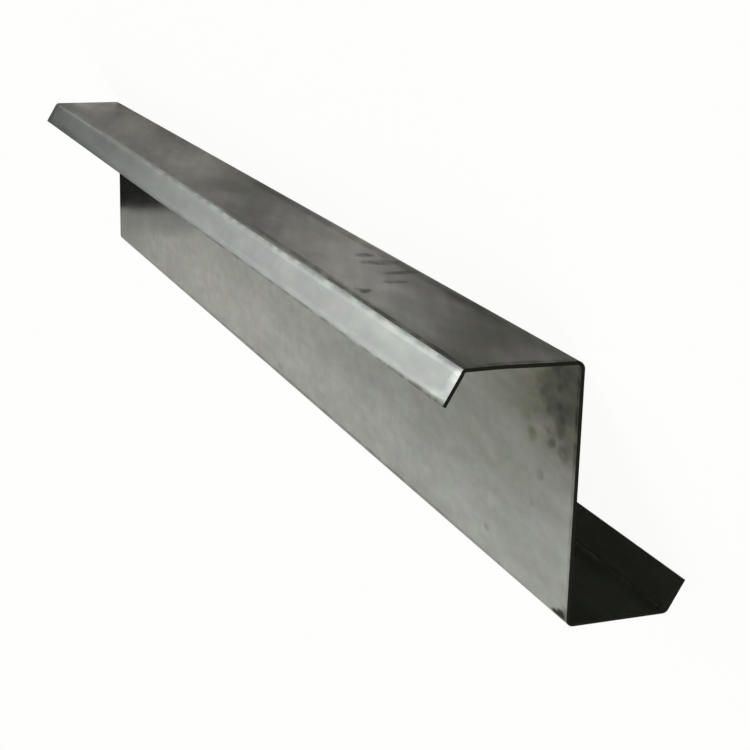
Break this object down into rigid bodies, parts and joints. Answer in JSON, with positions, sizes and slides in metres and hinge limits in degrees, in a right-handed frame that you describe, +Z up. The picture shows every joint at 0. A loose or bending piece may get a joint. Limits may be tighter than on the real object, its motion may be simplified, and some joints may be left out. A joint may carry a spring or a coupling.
{
  "type": "z-section purlin",
  "caption": "Cold-formed galvanised steel Z-section with unequal flanges and sloping lips, cut square at both ends.",
  "frame": {"origin": "on the floor under the middle of the length, at the centre of the bounding box's base", "axes": "+Y along the length, +Z up, +X towards the side where the broad flange stands up"},
  "size_m": [0.1794, 1, 0.0717],
  "materials": {
    "galvanised_steel": "hot-dip galvanised sheet, minimised spangle, dull and lightly stained"
  },
  "bodies": {
    "root": {"z_purlin": "galvanised_steel"}
  },
  "joints": []
}
